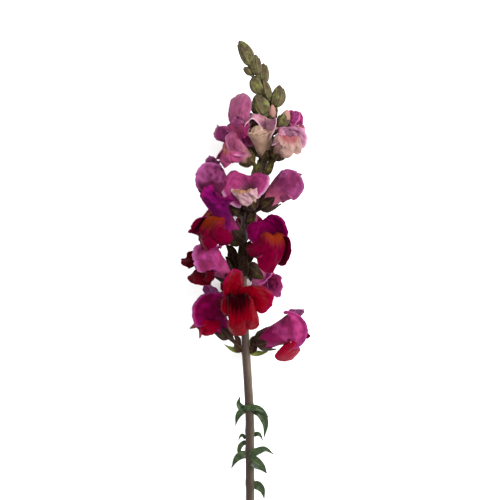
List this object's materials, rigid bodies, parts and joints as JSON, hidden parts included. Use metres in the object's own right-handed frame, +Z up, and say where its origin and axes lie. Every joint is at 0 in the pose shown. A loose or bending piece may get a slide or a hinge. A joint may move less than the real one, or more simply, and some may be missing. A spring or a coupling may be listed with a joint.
{
  "type": "snapdragon flower",
  "caption": "Cut snapdragon raceme lying on its back: a leafy stem with a spike of two-lipped flowers below a curved tip of green buds.",
  "frame": {"origin": "middle of the bounding box in X and Y, at the level of the surface that the cut flower lies on", "axes": "+Y along the stem from its cut foot to its tip, +X to the right seen from above with the tip away from the viewer, +Z up from the surface, towards the side of the spike that faces the viewer"},
  "size_m": [0.0904, 0.3204, 0.0793],
  "materials": {
    "stem": "matte, finely ribbed plant stem",
    "leaf": "matte leaf",
    "calyx": "matte downy sepals",
    "bud": "matte downy bud",
    "young": "velvety petal",
    "mauve": "velvety petal",
    "magenta": "velvety petal",
    "crimson": "velvety petal"
  },
  "bodies": {
    "root": {"bract_01": "leaf", "bract_02": "leaf", "bud_01": "bud", "bud_02": "bud", "bud_03": "bud", "bud_04": "bud", "bud_05": "bud", "bud_06": "bud", "bud_07": "bud", "bud_08": "bud", "bud_09": "bud", "bud_10": "bud", "bud_11": "bud", "bud_12": "bud", "calyx_01": "calyx", "calyx_02": "calyx", "calyx_03": "calyx", "calyx_04": "calyx", "calyx_05": "calyx", "calyx_07": "calyx", "calyx_08": "calyx", "calyx_09": "calyx", "calyx_10": "calyx", "calyx_11": "calyx", "calyx_12": "calyx", "calyx_13": "calyx", "calyx_14": "calyx", "calyx_15": "calyx", "calyx_16": "calyx", "calyx_17": "calyx", "calyx_18": "calyx", "calyx_19": "calyx", "corolla_01": "young", "corolla_02": "young", "corolla_03": "young", "corolla_04": "young", "corolla_05": "young", "corolla_07": "magenta", "corolla_08": "mauve", "corolla_09": "mauve", "corolla_10": "magenta", "corolla_11": "magenta", "corolla_12": "crimson", "corolla_13": "crimson", "corolla_14": "crimson", "corolla_15": "crimson", "corolla_16": "magenta", "corolla_17": "crimson", "corolla_18": "magenta", "corolla_19": "young", "leaf_01": "leaf", "leaf_02": "leaf", "leaf_03": "leaf", "leaf_04": "leaf", "leaf_05": "leaf", "leaf_06": "leaf", "leaf_07": "leaf", "leaf_08": "leaf", "leaf_09": "leaf", "stem": "stem"}
  },
  "joints": []
}
